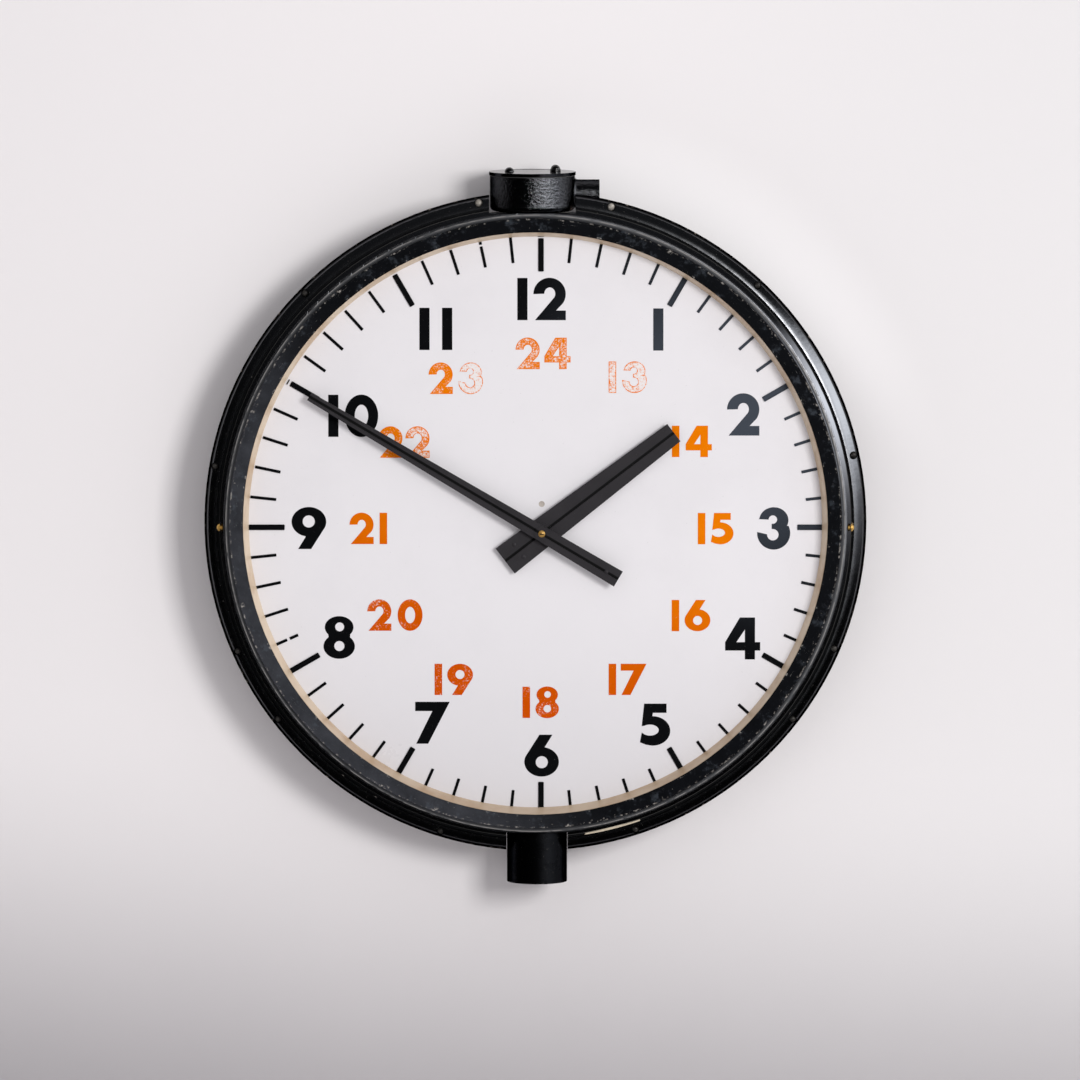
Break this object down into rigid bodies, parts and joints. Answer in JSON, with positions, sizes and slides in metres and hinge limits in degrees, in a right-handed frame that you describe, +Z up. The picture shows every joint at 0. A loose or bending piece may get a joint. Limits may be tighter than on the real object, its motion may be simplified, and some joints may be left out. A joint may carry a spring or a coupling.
{
  "type": "railway clock",
  "caption": "Round wall slave clock with a white numbered dial, two black hands, a stepped black bezel, a conduit box on top and a socket tube below.",
  "frame": {"origin": "on the wall, on the axis of the round case", "axes": "+X right as seen from the front, +Y into the wall, +Z up"},
  "size_m": [0.6619, 0.0894, 0.72],
  "materials": {
    "case_paint": "thick gloss paint, worn",
    "bezel_paint": "matt and gloss paint, chipped at the corners",
    "surround_paint": "aged cream paint",
    "dial_white": "satin white",
    "plug_grey": "matt",
    "hand_paint": "matt paint",
    "hand_brass": "aged",
    "weight_steel": "dull",
    "screw_steel": "weathered",
    "lid_screw_paint": "gloss paint",
    "screw_brass": "tarnished",
    "seal_cord": "aged pale rubber",
    "gasket_rubber": "matt",
    "porcelain": "glazed",
    "movement_brass": "lacquered",
    "movement_steel": "ground",
    "magnet_iron": "soft iron, oiled",
    "bobbin_fibre": "pressed fibre",
    "winding_wire": "enamelled copper"
  },
  "bodies": {
    "case": {"back_pan": "case_paint", "flange_ring": "case_paint", "junction_box": "case_paint", "box_lid": "case_paint", "socket_tube": "case_paint", "front_bezel": "bezel_paint", "dial_surround": "surround_paint", "dial": "dial_white", "dial_plug": "plug_grey", "flange_screws": "screw_steel", "flange_bolts": "screw_steel", "dial_seat_ring": "screw_steel", "lid_screws": "lid_screw_paint", "bezel_screws": "screw_brass", "terminal_screws": "screw_brass", "box_bush": "screw_brass", "bush_locknut": "screw_brass", "bezel_seal": "seal_cord", "dial_gasket": "gasket_rubber", "lid_gasket": "gasket_rubber", "terminal_block": "porcelain", "movement_back_plate": "movement_brass", "movement_front_plate": "movement_brass", "back_bush": "movement_brass", "front_bush": "movement_brass", "movement_posts": "movement_steel", "post_nuts": "movement_steel", "plate_pillars": "movement_steel", "pillar_nuts": "movement_steel", "wheel_stud": "movement_steel", "armature_pivot": "movement_steel", "armature_stop": "movement_steel", "spring_post": "movement_steel", "click_post": "movement_steel", "backstop_click": "movement_steel", "return_spring": "movement_steel", "magnet_yoke": "magnet_iron", "magnet_cores": "magnet_iron", "coil_bobbins": "bobbin_fibre", "coil_windings": "winding_wire"},
    "minute_hand_set": {"minute_arbor": "movement_steel", "ratchet_wheel": "movement_brass", "cannon_pinion": "movement_brass", "minute_hand": "hand_paint", "minute_boss": "hand_brass", "minute_counterweight": "weight_steel", "minute_rivets": "hand_paint", "hand_screw": "hand_brass"},
    "hour_hand_set": {"hour_wheel": "movement_brass", "hour_pipe": "movement_brass", "hour_hand": "hand_paint", "hour_boss": "hand_brass", "hour_counterweight": "weight_steel", "hour_rivets": "hand_paint"},
    "minute_wheel_set": {"minute_wheel": "movement_brass", "minute_pinion": "movement_brass"},
    "armature_set": {"armature": "magnet_iron", "drive_pawl": "movement_steel"}
  },
  "joints": [
    {"name": "minute_turn", "type": "hinge", "parent": "case", "child": "minute_hand_set", "pos_m": [0.0063, -0.07, -0.01], "axis": [0, 1, 0], "continuous": true, "deforming": ["backstop_click"]},
    {"name": "hour_turn", "type": "hinge", "parent": "case", "child": "hour_hand_set", "pos_m": [0.0063, -0.07, -0.01], "axis": [0, 1, 0], "continuous": true},
    {"name": "minute_wheel_turn", "type": "hinge", "parent": "case", "child": "minute_wheel_set", "pos_m": [0.02751, -0.05, -0.03121], "axis": [0, 1, 0], "continuous": true},
    {"name": "armature_rock", "type": "hinge", "parent": "case", "child": "armature_set", "pos_m": [0.0443, -0.031, -0.05], "axis": [0, -1, 0], "range_deg": [0, 1.7], "stiffness_Nm_per_rad": 1, "springref_deg": -2.86, "deforming": ["return_spring", "drive_pawl"]}
  ],
  "couplings": [
    {"joint": "hour_turn", "follows": "minute_turn", "ratio": 0.083333},
    {"joint": "minute_wheel_turn", "follows": "minute_turn", "ratio": -0.33333}
  ]
}
